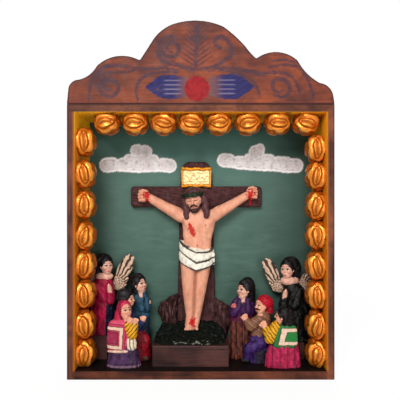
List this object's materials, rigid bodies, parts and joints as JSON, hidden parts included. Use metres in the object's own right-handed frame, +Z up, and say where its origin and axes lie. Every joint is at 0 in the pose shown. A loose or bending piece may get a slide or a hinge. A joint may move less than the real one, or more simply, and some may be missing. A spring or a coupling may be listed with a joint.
{
  "type": "retablo box",
  "caption": "Open wooden retablo box with a shaped painted crest, a border of golden roses and a painted crucifixion scene with angels and kneeling villagers in the niche.",
  "frame": {"origin": "middle of the foot of the whole box, on the surface it stands on", "axes": "+X to the viewer's right, +Y from the open front towards the back panel, +Z up"},
  "size_m": [0.224, 0.064, 0.3001],
  "materials": {
    "frame_wood": "stained wood with darker worn edges",
    "panel_paint": "teal paint on a thin board, bare wood behind",
    "crest_paint": "stained wood with painted strokes",
    "nail_iron": "dull iron",
    "plinth_paint": "dark brown paint",
    "cross_paint": "dark brown paint with fine streaks",
    "scroll_gilt": "moulded paste, painted cream and gold",
    "rock_paint": "moulded paste, painted brown",
    "grass_paint": "moulded paste, painted dark green",
    "figure_paste": "moulded paste of plaster, painted by hand",
    "rose_gilt": "moulded paste with gold paint"
  },
  "bodies": {
    "root": {"side_board_left": "frame_wood", "side_board_right": "frame_wood", "top_board": "frame_wood", "bottom_board": "frame_wood", "back_panel": "panel_paint", "crest_board": "crest_paint", "board_nails": "nail_iron", "back_panel_nails": "nail_iron", "plinth": "plinth_paint", "angel_left_pedestal": "plinth_paint", "angel_right_pedestal": "plinth_paint", "cross_upright": "cross_paint", "cross_beam": "cross_paint", "title_scroll": "scroll_gilt", "rock_left": "rock_paint", "rock_right": "rock_paint", "grass_mound": "grass_paint", "crucified_body": "figure_paste", "crucified_arm_left": "figure_paste", "crucified_arm_right": "figure_paste", "crucified_head": "figure_paste", "loincloth": "figure_paste", "angel_left_body": "figure_paste", "angel_left_head": "figure_paste", "angel_left_wings": "figure_paste", "angel_right_body": "figure_paste", "angel_right_head": "figure_paste", "angel_right_wings": "figure_paste", "woman_left": "figure_paste", "man_left": "figure_paste", "onlooker_left": "figure_paste", "onlooker_right": "figure_paste", "man_right": "figure_paste", "woman_right": "figure_paste", "hat": "figure_paste", "cap": "figure_paste", "rose_left_1": "rose_gilt", "rose_left_2": "rose_gilt", "rose_left_3": "rose_gilt", "rose_left_4": "rose_gilt", "rose_left_5": "rose_gilt", "rose_left_6": "rose_gilt", "rose_left_7": "rose_gilt", "rose_left_8": "rose_gilt", "rose_right_1": "rose_gilt", "rose_right_2": "rose_gilt", "rose_right_3": "rose_gilt", "rose_right_4": "rose_gilt", "rose_right_5": "rose_gilt", "rose_right_6": "rose_gilt", "rose_right_7": "rose_gilt", "rose_right_8": "rose_gilt", "rose_top_1": "rose_gilt", "rose_top_2": "rose_gilt", "rose_top_3": "rose_gilt", "rose_top_4": "rose_gilt", "rose_top_5": "rose_gilt", "rose_top_6": "rose_gilt", "rose_top_7": "rose_gilt", "rose_top_8": "rose_gilt"}
  },
  "joints": []
}
